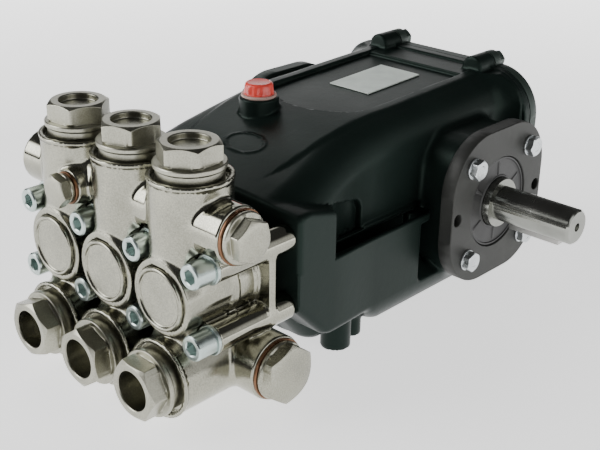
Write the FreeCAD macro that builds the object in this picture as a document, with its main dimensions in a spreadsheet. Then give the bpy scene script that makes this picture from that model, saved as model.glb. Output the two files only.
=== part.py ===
import FreeCAD, Part
import math
import os
import re
import Sketcher
from FreeCAD import Placement, Rotation, Vector

# Triplex plunger pump, in millimetres
# The origin is on the crankshaft's axis, in the plane of the middle plunger.
# X runs along the crankshaft to its driven end, Y from the head back to the rear cover, Z up.

SIZES = (
    ("columnPitch", 52, "distance between plungers, columns and valve caps"),
    ("shaftDiameter", 25, "driven end of the crankshaft"),
    ("journalDiameter", 35, "crankshaft in the bearing cover"),
    ("journalProud", 3.5, "collar of the crankshaft outside the bearing cover"),
    ("shaftReach", 171.5, "crank plane to the shaft's end"),
    ("shaftDepth", 58, "crank plane to the shaft's inner end"),
    ("shaftChamfer", 1.5, "chamfer on the shaft's end"),
    ("centreHole", 6, "centring hole in the shaft's end"),
    ("runningGap", 0.05, "radial gap round the turning shaft"),
    ("keyWidth", 8, "feather key"),
    ("keyHeight", 7, "feather key"),
    ("keySink", 4, "depth of the keyway in the shaft"),
    ("keyLength", 40, "feather key"),
    ("keySetback", 10.5, "shaft end to the key's end"),
    ("seatGap", 0.3, "gap between curved faces of fitted pieces"),
    ("hexEdge", 0.97, "flat face of a hexagon head against its flats"),
    ("tapEnd", 1, "depth of a tapped hole past its screw"),
    ("caseWidth", 142, "crankcase over its side walls"),
    ("caseFront", 187, "crank axis to the crankcase's front face"),
    ("caseRear", 66, "crank axis to the crankcase's rear face"),
    ("caseNose", 35.5, "height of the top at the front face"),
    ("caseBrow", 57, "height of the top half way up the slope"),
    ("browSetback", 140, "crank axis back to the middle of the slope"),
    ("casePanel", 68, "height of the top at the front end of the flat part"),
    ("panelSetback", 95, "crank axis to the front end of the flat part"),
    ("caseTop", 74, "height of the top at the rear face"),
    ("sumpDepth", 72, "crank axis down to the underside"),
    ("sumpLip", 26, "depth of the front face below the crank axis"),
    ("sumpSetback", 150, "crank axis to where the sump is deepest"),
    ("shoulderRadius", 26, "rounding of the long upper edges"),
    ("browRadius", 90, "rounding across the top between the slopes"),
    ("roofHalf", 53.5, "half width of the raised roof"),
    ("roofNose", 43, "half width of the raised roof at the front face"),
    ("sumpRadius", 14, "rounding of the lower long edges"),
    ("panelHalf", 44, "half width of the sunk panel in the roof"),
    ("panelNose", 37, "half width of the sunk panel at its front end"),
    ("panelSink", 2.5, "depth of the sunk panel"),
    ("panelFront", 175, "crank axis to where the sunk panel runs out"),
    ("panelRear", 58, "crank axis to the rear end of the sunk panel"),
    ("flangeHalf", 90, "half width of the front flange"),
    ("flangeTop", 36, "height of the front flange"),
    ("flangeDrop", 54, "crank axis to the front flange's lower edge"),
    ("flangeRadius", 11, "rounding of the front flange's long edges"),
    ("flareRadius", 54.8, "hollow between the side wall and the front flange"),
    ("flareStart", 112, "crank axis to the start of that hollow"),
    ("skirtTop", 1, "top of the thick lower side walls above the crank axis"),
    ("skirtRadius", 25, "rounding of the lower side walls' long edges"),
    ("skirtFront", 116, "crank axis to where the lower side walls begin to fall to the sump's depth"),
    ("skirtEnd", 62, "crank axis to the recess in front of the bearing boss"),
    ("skirtStep", 42, "depth of that recess's floor below the crank axis"),
    ("ledgeEnd", 48, "crank axis to the rear end of the ledge over that recess"),
    ("ledgeThick", 6, "ledge over that recess"),
    ("ledgeRim", 4, "rim left outside the slot in the ledge"),
    ("slotFront", 148, "crank axis to the slot's front end"),
    ("slotRear", 54, "crank axis to the slot's rear end"),
    ("slotDepth", 24, "depth of the slot below the ledge"),
    ("bossHalf", 43, "half width of the bearing boss"),
    ("bossUp", 50, "height of the bearing boss above the crank axis"),
    ("bossDown", 56, "depth of the bearing boss below the crank axis"),
    ("bossRadius", 26, "corner rounding of the bearing boss"),
    ("bossReach", 97, "crank plane to the bearing boss's face"),
    ("coverHalf", 55, "half height and width of a bearing cover"),
    ("coverRadius", 39, "corner rounding of a bearing cover"),
    ("coverThick", 11, "bearing cover"),
    ("coverBoltCircle", 96.8, "pitch circle of the bearing covers' bolts and tapped holes"),
    ("tapDiameter", 8.5, "tapped holes on the driven side"),
    ("sealDiameter", 66, "shaft seal"),
    ("sealThick", 8, "seat of the shaft seal"),
    ("sealSink", 1, "shaft seal below the cover's face"),
    ("boltSize", 8, "bearing cover and rear cover bolts"),
    ("boltFlats", 13, "hexagon of those bolts"),
    ("boltHead", 5.3, "head of those bolts"),
    ("boltGrip", 22, "shank of those bolts"),
    ("washerDiameter", 15, "washer of those bolts"),
    ("washerThick", 1.6, "washer of those bolts"),
    ("rearHalf", 88, "half width of the rear flange and cover"),
    ("rearTop", 75.5, "height of the rear flange and cover"),
    ("rearRadius", 34, "upper corners of the rear flange and cover"),
    ("cornerCut", 0.75, "straight corner of the flare against its round corner"),
    ("rearFoot", 18, "lower corners of the rear flange and cover"),
    ("rearFlange", 8, "thickness of the rear flange"),
    ("rearFlare", 20, "length of the flare in front of the rear flange"),
    ("rearCover", 8, "thickness of the rear cover"),
    ("lugPitch", 90, "distance between the two upper bolt lugs"),
    ("lugHeight", 76, "height of the upper bolt lugs"),
    ("lugDiameter", 17, "rear bolt lugs"),
    ("lugStart", 46, "crank axis to the front end of the upper lugs"),
    ("footPitchX", 129.2, "distance between the feet along the shaft"),
    ("footFront", 122, "crank axis to the front feet"),
    ("footRear", 42, "crank axis to the rear feet"),
    ("footDiameter", 21, "foot pads"),
    ("footHeight", 84, "shaft height above the feet"),
    ("footRoot", 30, "height of the foot pads' columns"),
    ("footTap", 8.5, "tapped hole in a foot"),
    ("footTapDepth", 18, "tapped hole in a foot"),
    ("footLug", 16, "small lug behind a front foot"),
    ("footLugX", 60, "crank plane to the small lug"),
    ("footLugY", 102, "crank axis to the small lug"),
    ("fillerX", 16, "oil filler, off the middle"),
    ("fillerY", 112, "crank axis to the oil filler"),
    ("fillerTop", 73, "height of the filler boss"),
    ("fillerBoss", 27, "filler boss"),
    ("fillerRoot", 20, "length of the filler boss"),
    ("fillerRing", 23, "sealing ring under the filler cap"),
    ("ringThick", 2, "sealing ring under the filler cap"),
    ("fillerCap", 20, "filler cap"),
    ("capHeight", 11, "filler cap"),
    ("fillerNeck", 14, "thread of the filler cap"),
    ("neckLong", 12, "thread of the filler cap"),
    ("plateWide", 37, "label plate, across"),
    ("plateLong", 59, "label plate, along"),
    ("plateThick", 0.8, "label plate"),
    ("plateY", 11.4, "crank axis to the label plate's middle"),
    ("columnSetback", 239.3, "crank axis to the columns' axes"),
    ("columnDiameter", 50.5, "valve columns"),
    ("columnTop", 72, "height of the columns' rim"),
    ("recessDiameter", 46, "recess round a valve cap's neck"),
    ("recessDeep", 4, "recess round a valve cap's neck"),
    ("barrelDiameter", 49, "plunger barrels"),
    ("barrelFront", 264.6, "crank axis to the barrels' front rim"),
    ("headRear", 203, "crank axis to the head's rear plate"),
    ("plateDepth", 5.5, "rear plate of the head"),
    ("webSetback", 6, "barrel's rim and rear plate to the web's ends"),
    ("plateUp", 21, "rear plate above the plunger axes"),
    ("plateDown", 28, "rear plate below the plunger axes"),
    ("plateHalf", 86, "half width of the rear plate"),
    ("suctionDrop", 52.2, "plunger axes down to the suction valves"),
    ("suctionDiameter", 50, "suction valve housings"),
    ("suctionFront", 269.3, "crank axis to the suction housings' rim"),
    ("webWidth", 34, "web between a barrel and its suction housing"),
    ("suctionGalleryY", 210.5, "crank axis to the suction gallery"),
    ("suctionGallery", 42, "suction gallery"),
    ("dischargeGalleryZ", 45, "height of the discharge gallery"),
    ("dischargeGallery", 36, "discharge gallery"),
    ("screwPitchZ", 46, "upper to lower head screws"),
    ("sleeveDiameter", 18.4, "bosses round the head screws"),
    ("sleeveFront", 249, "crank axis to the bosses' front end"),
    ("screwDiameter", 10, "head screws"),
    ("screwHead", 16, "head of the head screws"),
    ("screwHeadLong", 14, "head of the head screws"),
    ("screwFlats", 8, "socket of the head screws"),
    ("screwSocket", 6, "depth of that socket"),
    ("screwBite", 20, "thread of the head screws in the crankcase"),
    ("screwWasher", 19, "washer under a head screw"),
    ("screwWasherThick", 2, "washer under a head screw"),
    ("capFlats", 34.6, "hexagon of the valve caps"),
    ("capHex", 12, "height of that hexagon"),
    ("capCollar", 43.4, "round collar under the hexagon"),
    ("capCollarHigh", 3.5, "height of that collar"),
    ("capNeck", 40.4, "neck under the collar"),
    ("capNeckHigh", 4.5, "height of that neck"),
    ("capThread", 28, "thread of a valve cap"),
    ("capThreadLong", 16, "thread of a valve cap"),
    ("capDish", 24, "dish in a discharge cap"),
    ("capDishDeep", 5, "dish in a discharge cap"),
    ("capBore", 25.2, "bore in a suction cap"),
    ("capBoreDeep", 24, "bore in a suction cap"),
    ("discDiameter", 40, "plunger plugs"),
    ("discThread", 36, "thread of a plunger plug"),
    ("discRim", 2.6, "plunger plug in front of the barrel"),
    ("discDish", 31, "dish in a plunger plug"),
    ("discDishDeep", 1.2, "dish in a plunger plug"),
    ("discThreadLong", 12, "thread of a plunger plug"),
    ("guideDiameter", 36, "plunger guides between head and crankcase"),
    ("suctionPlugFlats", 35, "hexagon of the suction plug"),
    ("suctionPlugHex", 8, "height of that hexagon"),
    ("suctionPlugFace", 40, "washer of the suction plug"),
    ("suctionThread", 33, "thread of the suction ports"),
    ("dischargePlugFlats", 24, "hexagon of the discharge plug"),
    ("dischargePlugHex", 7.5, "height of that hexagon"),
    ("dischargePlugFace", 34, "washer of the discharge plug"),
    ("dischargeThread", 21, "thread of the discharge ports"),
    ("gaugePlugFlats", 19, "hexagon of the gauge plug"),
    ("gaugePlugHex", 6.5, "height of that hexagon"),
    ("gaugePlugFace", 21, "washer of the gauge plug"),
    ("gaugeThread", 16, "thread of the gauge port"),
    ("gaugeX", 33.4, "crank plane to the gauge boss"),
    ("gaugeFront", 263.5, "crank axis to the gauge boss's face"),
    ("gaugeBoss", 22, "gauge boss"),
    ("gaugeRoot", 25, "root of the gauge boss"),
    ("plugFlange", 3, "thickness of a plug's flange"),
    ("plugEdge", 2, "washer's diameter over a plug's flange"),
    ("plugThreadLong", 14, "thread of a plug"),
    ("plugWasher", 2, "copper washer under a plug"),
    ("suctionClear", 6.5, "suction gallery's end past the outer head screw's washer"),
    ("dischargeClear", 5, "discharge gallery's end past the outer head screw's washer"),
    ("portDepth", 20, "depth of the open ports"),
)

doc = FreeCAD.newDocument("PlungerPump")
sizes = doc.addObject("Spreadsheet::Sheet", "Sizes")
for row, (alias, value, meaning) in enumerate(SIZES, start=1):
    sizes.set(f"A{row}", meaning)
    sizes.set(f"B{row}", str(value))
    sizes.setAlias(f"B{row}", alias)
doc.recompute()

ALIASES = {alias for alias, value, meaning in SIZES}
TURNS = {
    "x": Rotation(Vector(0, 1, 0), 90),
    "-x": Rotation(Vector(0, 1, 0), -90),
    "y": Rotation(Vector(1, 0, 0), -90),
    "-y": Rotation(Vector(1, 0, 0), 90),
    "z": Rotation(),
    "-z": Rotation(Vector(1, 0, 0), 180),
}
COLUMNS = (-1, 0, 1)
SIDES = (-1, 1)
nodes = {}


def formula(text):
    """Write a sum of size names as an expression on the sheet."""
    return re.sub(r"[A-Za-z]+", lambda word: f"Sizes.{word[0]}" if word[0] in ALIASES else word[0], text)


def bind(piece, **texts):
    for name, text in texts.items():
        piece.setExpression(name, formula(text))
    return piece


def put(piece, place=("0", "0", "0"), axis="z"):
    """Stand a piece on a place with its own Z along an axis."""
    piece.Placement = Placement(Vector(), TURNS[axis])
    for letter, text in zip("xyz", place):
        piece.setExpression(f"Placement.Base.{letter}", formula(text))
    return piece


def rod(name, diameter, length, place=("0", "0", "0"), axis="z"):
    piece = doc.addObject("Part::Cylinder", name)
    bind(piece, Radius=f"({diameter}) / 2", Height=length)
    return put(piece, place, axis)


def block(name, width, depth, height, corner):
    piece = doc.addObject("Part::Box", name)
    bind(piece, Length=width, Width=depth, Height=height)
    return put(piece, corner)


def hexagon(name, flats, height, place=("0", "0", "0"), axis="z"):
    piece = doc.addObject("Part::Prism", name)
    piece.Polygon = 6
    bind(piece, Circumradius=f"({flats}) / sqrt(3)", Height=height)
    return put(piece, place, axis)


def nut(name, flats, height, place=("0", "0", "0")):
    """A hexagon whose outer corners are turned off at thirty degrees."""
    prism = hexagon(name + "_prism", flats, height, place)
    cone = doc.addObject("Part::Cone", name + "_cone")
    bind(cone, Radius1=f"({flats}) / 2 * hexEdge + ({height}) / tan(30)",
         Radius2=f"({flats}) / 2 * hexEdge", Height=height)
    return common(name, [prism, put(cone, place)])


def fuse(name, pieces):
    whole = doc.addObject("Part::MultiFuse", name)
    whole.Shapes = pieces
    whole.Refine = True
    return whole


def cut(name, base, tools):
    tool = tools[0] if len(tools) == 1 else fuse(name + "_tools", tools)
    whole = doc.addObject("Part::Cut", name)
    whole.Base = base
    whole.Tool = tool
    whole.Refine = True
    return whole


def common(name, pieces):
    whole = doc.addObject("Part::MultiCommon", name)
    whole.Shapes = pieces
    return whole


def node(name, piece):
    """Name a finished sub-part; its label is its file's name."""
    piece.Label = name
    nodes[name] = piece
    return piece


def profile(body, role, points, lift="0"):
    """A closed outline of straight sides on one of a body's own planes."""
    sketch = body.newObject("Sketcher::SketchObject", body.Name + "_outline")
    plane = next(feature for feature in body.Origin.OriginFeatures if feature.Role == role)
    sketch.AttachmentSupport = [(plane, "")]
    sketch.MapMode = "FlatFace"
    sketch.setExpression("AttachmentOffset.Base.z", formula(lift))
    count = len(points)
    for index in range(count):
        ends = []
        for corner in (index, index + 1):
            turn = 2 * math.pi * corner / count
            ends.append(Vector(math.cos(turn), math.sin(turn), 0) * sizes.columnPitch)
        sketch.addGeometry(Part.LineSegment(*ends), False)
    for index in range(count):
        sketch.addConstraint(Sketcher.Constraint("Coincident", index, 2, (index + 1) % count, 1))
    for index, point in enumerate(points):
        for kind, text in zip(("DistanceX", "DistanceY"), point):
            constraint = sketch.addConstraint(Sketcher.Constraint(kind, -1, 1, index, 1, 1.0))
            sketch.setExpression(f"Constraints[{constraint}]", formula(text))
    return sketch


def pad(body, sketch, length, side="One side", backwards=False):
    piece = body.newObject("PartDesign::Pad", body.Name + "_pad")
    piece.Profile = sketch
    piece.SideType = side
    piece.Reversed = backwards
    bind(piece, Length=length)
    doc.recompute()
    return piece


def turned(body, sketch):
    """Turn an outline round its own horizontal axis."""
    piece = body.newObject("PartDesign::Revolution", body.Name + "_turn")
    piece.Profile = sketch
    piece.ReferenceAxis = (sketch, ["H_Axis"])
    piece.Angle = 360
    doc.recompute()
    return piece


def rounded(body, radius, chosen):
    """Round the edges of a body's last feature that pass a test."""
    base = body.Tip
    names = [f"Edge{index}" for index, edge in enumerate(base.Shape.Edges, start=1) if chosen(edge)]
    piece = body.newObject("PartDesign::Fillet", body.Name + "_round")
    piece.Base = (base, names)
    bind(piece, Radius=radius)
    doc.recompute()
    return piece


def runs_along(edge, direction):
    """True for a straight edge along a direction."""
    if len(edge.Vertexes) != 2:
        return False
    span = edge.Vertexes[1].Point - edge.Vertexes[0].Point
    return span.Length > 0.1 and span.cross(direction).Length < 0.001 * span.Length


def rectangle(half, low, high):
    return ((f"-({half})", low), (half, low), (half, high), (f"-({half})", high))


# Crankcase: a deep rounded box under a raised roof with a long sunk panel
ROOF_LINE = (
    ("caseRear", "caseTop"),
    ("-panelSetback", "casePanel"),
    ("-browSetback", "caseBrow"),
    ("-caseFront", "caseNose"),
)


def along_brow(edge):
    """The edges across the roof where its slope changes."""
    return (runs_along(edge, Vector(1, 0, 0)) and edge.CenterOfMass.z > sizes.caseNose + 1
            and edge.CenterOfMass.y < 0)


def at_wall(edge):
    """The long edges of the side walls, without those of the front and rear faces."""
    return (abs(abs(edge.CenterOfMass.x) - sizes.caseWidth / 2) < 0.01
            and -sizes.caseFront + 0.01 < edge.CenterOfMass.y < sizes.caseRear - 0.01)


core = doc.addObject("PartDesign::Body", "case_core")
sump_line = (
    ("-caseFront", "-sumpLip"),
    ("-sumpSetback", "-sumpDepth"),
    ("caseRear", "-sumpDepth"),
)
pad(core, profile(core, "YZ_Plane", sump_line + ROOF_LINE), "caseWidth", side="Symmetric")
rounded(core, "browRadius", along_brow)
rounded(core, "shoulderRadius", lambda edge: at_wall(edge) and edge.CenterOfMass.z > sizes.caseNose)
rounded(core, "sumpRadius", lambda edge: at_wall(edge) and edge.CenterOfMass.z < -sizes.sumpLip)

roof_side = doc.addObject("PartDesign::Body", "roof_side")
pad(roof_side, profile(roof_side, "YZ_Plane", (("-caseFront", "0"), ("caseRear", "0")) + ROOF_LINE),
    "roofHalf * 2", side="Symmetric")
rounded(roof_side, "browRadius", along_brow)
roof_plan = doc.addObject("PartDesign::Body", "roof_plan")
roof_right = (
    ("roofNose", "-caseFront"),
    ("(roofHalf * 2 + roofNose) / 3", "-browSetback"),
    ("roofHalf", "-panelSetback"),
    ("roofHalf", "caseRear"),
)


def both_sides(right):
    """A plan outline from its right-hand corners."""
    return tuple(right) + tuple((f"-({x})", y) for x, y in reversed(right))


pad(roof_plan, profile(roof_plan, "XY_Plane", both_sides(roof_right)), "caseTop")
roof = common("roof", [roof_side, roof_plan])

RISE = "(caseTop - casePanel) / (caseRear + panelSetback)"
FALL = "(caseBrow - caseNose) / (caseFront - browSetback)"
panel_side = doc.addObject("PartDesign::Body", "panel_side")
panel_view = (
    ("-panelFront", f"caseNose + (caseFront - panelFront) * {FALL}"),
    ("-browSetback", "caseBrow - panelSink / 2"),
    ("-panelSetback", "casePanel - panelSink"),
    ("panelRear", f"casePanel - panelSink + (panelRear + panelSetback) * {RISE}"),
    ("panelRear", "caseTop * 2"),
    ("-panelFront", "caseTop * 2"),
)
pad(panel_side, profile(panel_side, "YZ_Plane", panel_view), "panelHalf * 2", side="Symmetric")
panel_plan = doc.addObject("PartDesign::Body", "panel_plan")
panel_right = (
    ("panelNose", "-panelFront"),
    ("panelHalf", "-panelSetback"),
    ("panelHalf", "panelRear"),
)
pad(panel_plan, profile(panel_plan, "XY_Plane", both_sides(panel_right)), "caseTop * 2")
panel = common("panel", [panel_side, panel_plan])
body_shell = cut("case_body", fuse("case_shell", [core, roof]), [panel])

# Front flange, hollowed into the side walls behind it
flange = doc.addObject("PartDesign::Body", "case_flange")
flange_view = (
    ("-caseFront", "flangeTop"),
    ("-caseFront", "-sumpLip"),
    ("-caseFront + flangeDrop - sumpLip", "-flangeDrop"),
    ("-flareStart", "-flangeDrop"),
    ("-flareStart", "flangeTop"),
)
pad(flange, profile(flange, "YZ_Plane", flange_view), "flangeHalf * 2", side="Symmetric")
rounded(flange, "flangeRadius", lambda edge: runs_along(edge, Vector(0, 1, 0)))
hollows = [rod(f"case_hollow_{side}", "flareRadius * 2", "flangeTop + flangeDrop",
               (f"{side} * (caseWidth / 2 + flareRadius)", "-flareStart", "-flangeDrop")) for side in SIDES]
flared = cut("case_flared", flange, hollows)

# Thick lower side walls with a slot in their ledge and a recess in front of the bearing boss
skirt_section = doc.addObject("PartDesign::Body", "skirt_section")
pad(skirt_section, profile(skirt_section, "XZ_Plane", rectangle("rearHalf", "-sumpDepth", "skirtTop"),
                           "-(caseRear - rearFlange)"), "caseRear - rearFlange + caseFront")
rounded(skirt_section, "skirtRadius", lambda edge: runs_along(edge, Vector(0, 1, 0))
        and edge.CenterOfMass.z < 0)
skirt_side = doc.addObject("PartDesign::Body", "skirt_side")
skirt_view = (
    ("-caseFront + flangeDrop - sumpLip", "skirtTop"),
    ("-caseFront + flangeDrop - sumpLip", "-flangeDrop"),
    ("-skirtFront", "-flangeDrop"),
    ("-skirtFront + sumpDepth - flangeDrop", "-sumpDepth"),
    ("caseRear - rearFlange", "-sumpDepth"),
    ("caseRear - rearFlange", "-skirtStep"),
    ("-skirtEnd", "-skirtStep"),
    ("-skirtEnd", "skirtTop - ledgeThick"),
    ("-ledgeEnd", "skirtTop - ledgeThick"),
    ("-ledgeEnd", "skirtTop"),
)
pad(skirt_side, profile(skirt_side, "YZ_Plane", skirt_view), "rearHalf * 2", side="Symmetric")
slots = [block(f"case_slot_{name}", "rearHalf - ledgeRim - caseWidth / 2", "slotFront - slotRear", "slotDepth",
               (start, "-slotFront", "skirtTop - slotDepth"))
         for name, start in (("right", "caseWidth / 2"), ("left", "ledgeRim - rearHalf"))]
skirt = cut("case_skirt", common("case_skirt_block", [skirt_section, skirt_side]), slots)

bearing = doc.addObject("PartDesign::Body", "case_bearing")
pad(bearing, profile(bearing, "YZ_Plane", rectangle("bossHalf", "-bossDown", "bossUp")),
    "bossReach * 2", side="Symmetric")
rounded(bearing, "bossRadius", lambda edge: runs_along(edge, Vector(1, 0, 0)))


def rear_outline(name, start, thick):
    """The rear flange and its cover share one outline."""
    body = doc.addObject("PartDesign::Body", name)
    pad(body, profile(body, "XZ_Plane", rectangle("rearHalf", "-sumpDepth", "rearTop"), f"-({start})"),
        thick, backwards=True)
    rounded(body, "rearRadius", lambda edge: runs_along(edge, Vector(0, 1, 0)) and edge.CenterOfMass.z > 0)
    rounded(body, "rearFoot", lambda edge: runs_along(edge, Vector(0, 1, 0)) and edge.CenterOfMass.z < 0)
    return body


flare = doc.addObject("PartDesign::Body", "case_flare")


def bevelled(half, top, upper, lower):
    """A section across the crankcase whose corners are cut straight."""
    right = (
        (f"{half} - {lower} * cornerCut", "-sumpDepth"),
        (half, f"-sumpDepth + {lower} * cornerCut"),
        (half, f"{top} - {upper} * cornerCut"),
        (f"{half} - {upper} * cornerCut", top),
    )
    return both_sides(right)


narrow = profile(flare, "XZ_Plane", bevelled("caseWidth / 2", "caseTop", "shoulderRadius", "sumpRadius"),
                 "-(caseRear - rearFlange - rearFlare)")
wide = profile(flare, "XZ_Plane", bevelled("rearHalf", "rearTop", "rearRadius", "rearFoot"),
               "-(caseRear - rearFlange)")
loft = flare.newObject("PartDesign::AdditiveLoft", "case_flare_loft")
loft.Profile = narrow
loft.Sections = [wide]
doc.recompute()

case_parts = [body_shell, flared, skirt, bearing, flare]
case_parts.append(rear_outline("case_rear", "caseRear - rearFlange", "rearFlange"))
for side in SIDES:
    case_parts.append(rod(f"case_lug_{side}", "lugDiameter", "caseRear - lugStart",
                          (f"{side} * lugPitch / 2", "lugStart", "lugHeight"), "y"))
    for end, reach in (("front", "-footFront"), ("rear", "footRear")):
        case_parts.append(rod(f"case_foot_{end}_{side}", "footDiameter", "footRoot",
                              (f"{side} * footPitchX / 2", reach, "-footHeight")))
    case_parts.append(rod(f"case_foot_lug_{side}", "footLug", "footRoot",
                          (f"{side} * footLugX", "-footLugY", "-footHeight")))
case_parts.append(rod("case_filler", "fillerBoss", "fillerRoot",
                      ("-fillerX", "-fillerY", "fillerTop - fillerRoot")))

SCREWS = [(x, z) for z in SIDES for x in (-1.5, -0.5, 0.5, 1.5)]
case_cuts = []
case_cuts.append(rod("case_shaft_bore", "journalDiameter + 2 * runningGap", "bossReach",
                     ("shaftDepth", "0", "0"), "x"))
for x, z in SCREWS:
    case_cuts.append(rod("case_screw_hole", "screwDiameter + 2 * seatGap", "screwBite + seatGap",
                         (f"{x} * columnPitch", "-caseFront", f"{z} * screwPitchZ / 2"), "y"))
case_cuts.append(rod("case_filler_hole", "fillerNeck + 2 * seatGap", "neckLong + tapEnd",
                     ("-fillerX", "-fillerY", "fillerTop"), "-z"))
BOLT_ANGLES = [45 + 90 * quarter for quarter in range(4)]
for side in SIDES:
    for angle in BOLT_ANGLES:
        case_cuts.append(rod("case_bolt_hole", "boltSize + 2 * seatGap", "boltGrip",
                             (f"{side} * bossReach", f"coverBoltCircle / 2 * cos({angle})",
                              f"coverBoltCircle / 2 * sin({angle})"), "-x" if side > 0 else "x"))
    case_cuts.append(rod("case_lug_hole", "boltSize + 2 * seatGap", "boltGrip",
                         (f"{side} * lugPitch / 2", "caseRear", "lugHeight"), "-y"))
    for reach in ("-footFront", "footRear"):
        case_cuts.append(rod("case_foot_hole", "footTap", "footTapDepth",
                             (f"{side} * footPitchX / 2", reach, "-footHeight")))
node("crankcase", cut("crankcase_cut", fuse("crankcase_solid", case_parts), case_cuts))

# Rear cover and its bolts
cover_parts = [rear_outline("rear_plate", "caseRear", "rearCover")]
for side in SIDES:
    cover_parts.append(rod(f"rear_lug_{side}", "lugDiameter", "rearCover",
                           (f"{side} * lugPitch / 2", "caseRear", "lugHeight"), "y"))
LUGS = [(side * 0.5, "lugHeight") for side in SIDES]
cover_cuts = []
for x, height in LUGS:
    cover_cuts.append(rod("rear_hole", "boltSize + 2 * seatGap", "rearCover",
                          (f"{x} * lugPitch", "caseRear", height), "y"))
node("rear_cover", cut("rear_cover_cut", fuse("rear_cover_solid", cover_parts), cover_cuts))


def bolt(name, grip, place, axis):
    """A hexagon bolt with its washer, its seat at the place and its head along the axis."""
    head = nut(name + "_head", "boltFlats", "boltHead", ("0", "0", "washerThick"))
    washer = rod(name + "_washer", "washerDiameter", "washerThick")
    shank = rod(name + "_shank", "boltSize", grip, axis="-z")
    return put(fuse(name + "_bolt", [head, washer, shank]), place, axis)


rear_bolts = [bolt(f"rear_{index}", "boltGrip", (f"{x} * lugPitch", "caseRear + rearCover", height), "y")
              for index, (x, height) in enumerate(LUGS)]
node("rear_cover_bolts", fuse("rear_bolts", rear_bolts))

# Bearing covers: rounded squares, the driven one with its seal and two tapped holes
for side, name in ((1, "right"), (-1, "left")):
    outward = "x" if side > 0 else "-x"
    inward = "-x" if side > 0 else "x"
    body = doc.addObject("PartDesign::Body", f"cover_{name}")
    start = "bossReach" if side > 0 else "-bossReach"
    pad(body, profile(body, "YZ_Plane", rectangle("coverHalf", "-coverHalf", "coverHalf"), start),
        "coverThick", backwards=side < 0)
    rounded(body, "coverRadius", lambda edge: runs_along(edge, Vector(1, 0, 0)))
    face = f"{side} * (bossReach + coverThick)"
    holes = []
    for angle in BOLT_ANGLES:
        holes.append(rod(f"cover_{name}_hole", "boltSize + 2 * seatGap", "coverThick",
                         (face, f"coverBoltCircle / 2 * cos({angle})",
                          f"coverBoltCircle / 2 * sin({angle})"), inward))
    if side > 0:
        holes.append(rod("cover_seal_seat", "sealDiameter + 2 * seatGap", "sealThick",
                         (face, "0", "0"), inward))
        holes.append(rod("cover_shaft_hole", "journalDiameter + 2 * runningGap", "coverThick",
                         (face, "0", "0"), inward))
        for way in SIDES:
            holes.append(rod("cover_tapped_hole", "tapDiameter", "coverThick",
                             (face, f"{way} * coverBoltCircle / 2", "0"), inward))
    node(f"bearing_cover_{name}", cut(f"cover_{name}_cut", body, holes))
    bolts = []
    for index, angle in enumerate(BOLT_ANGLES):
        bolts.append(bolt(f"cover_{name}_{index}", "coverThick + boltGrip - 2 * seatGap",
                          (face, f"coverBoltCircle / 2 * cos({angle})",
                           f"coverBoltCircle / 2 * sin({angle})"), outward))
    node(f"bearing_bolts_{name}", fuse(f"bearing_{name}_bolts", bolts))

seal_ring = rod("seal_ring", "sealDiameter", "sealThick - sealSink",
                ("bossReach + coverThick - sealThick", "0", "0"), "x")
seal_hole = rod("seal_hole", "journalDiameter + 2 * runningGap", "sealThick",
                ("bossReach + coverThick - sealThick", "0", "0"), "x")
node("shaft_seal", cut("seal_cut", seal_ring, [seal_hole]))

# Driven end of the crankshaft with its feather key
shaft = doc.addObject("PartDesign::Body", "shaft_body")
shaft_view = (
    ("shaftDepth + seatGap", "0"),
    ("shaftReach", "0"),
    ("shaftReach", "shaftChamfer - shaftDiameter / 2"),
    ("shaftReach - shaftChamfer", "-shaftDiameter / 2"),
    ("bossReach + coverThick + journalProud", "-shaftDiameter / 2"),
    ("bossReach + coverThick + journalProud", "-journalDiameter / 2"),
    ("shaftDepth + seatGap", "-journalDiameter / 2"),
)
turned(shaft, profile(shaft, "XZ_Plane", shaft_view))
keyway = block("keyway", "keyLength + 2 * seatGap", "keyWidth + 2 * seatGap", "shaftDiameter",
               ("shaftReach - keySetback - keyLength - seatGap", "-keyWidth / 2 - seatGap",
                "keySink - shaftDiameter * 1.5"))
centre = rod("shaft_centre", "centreHole", "centreHole", ("shaftReach", "0", "0"), "-x")
node("crankshaft", cut("shaft_cut", shaft, [keyway, centre]))
node("shaft_key", block("key", "keyLength", "keyWidth", "keyHeight - seatGap",
                        ("shaftReach - keySetback - keyLength", "-keyWidth / 2",
                         "keySink - shaftDiameter / 2 - keyHeight")))

# Oil filler cap on its ring
ring_body = rod("ring_body", "fillerRing", "ringThick", ("-fillerX", "-fillerY", "fillerTop"))
ring_hole = rod("ring_hole", "fillerNeck + 2 * seatGap", "ringThick", ("-fillerX", "-fillerY", "fillerTop"))
node("filler_ring", cut("ring_cut", ring_body, [ring_hole]))
cap_head = rod("filler_head", "fillerCap", "capHeight", ("-fillerX", "-fillerY", "fillerTop + ringThick"))
cap_neck = rod("filler_neck", "fillerNeck", "ringThick + neckLong",
               ("-fillerX", "-fillerY", "fillerTop + ringThick"), "-z")
node("oil_filler_cap", fuse("filler_cap", [cap_head, cap_neck]))

# Blank label plate on the sunk panel
label = block("label", "plateWide", "plateLong", "plateThick", ("-plateWide / 2", "0", "0"))
label.Placement.Rotation = Rotation(Vector(1, 0, 0), 0)
label.setExpression("Placement.Rotation.Angle", formula(f"atan({RISE})"))
label.setExpression("Placement.Base.y", formula("-plateY - plateLong / 2"))
label.setExpression("Placement.Base.z", formula(
    f"casePanel - panelSink + seatGap + (panelSetback - plateY - plateLong / 2) * {RISE}"))
node("label_plate", label)

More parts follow.
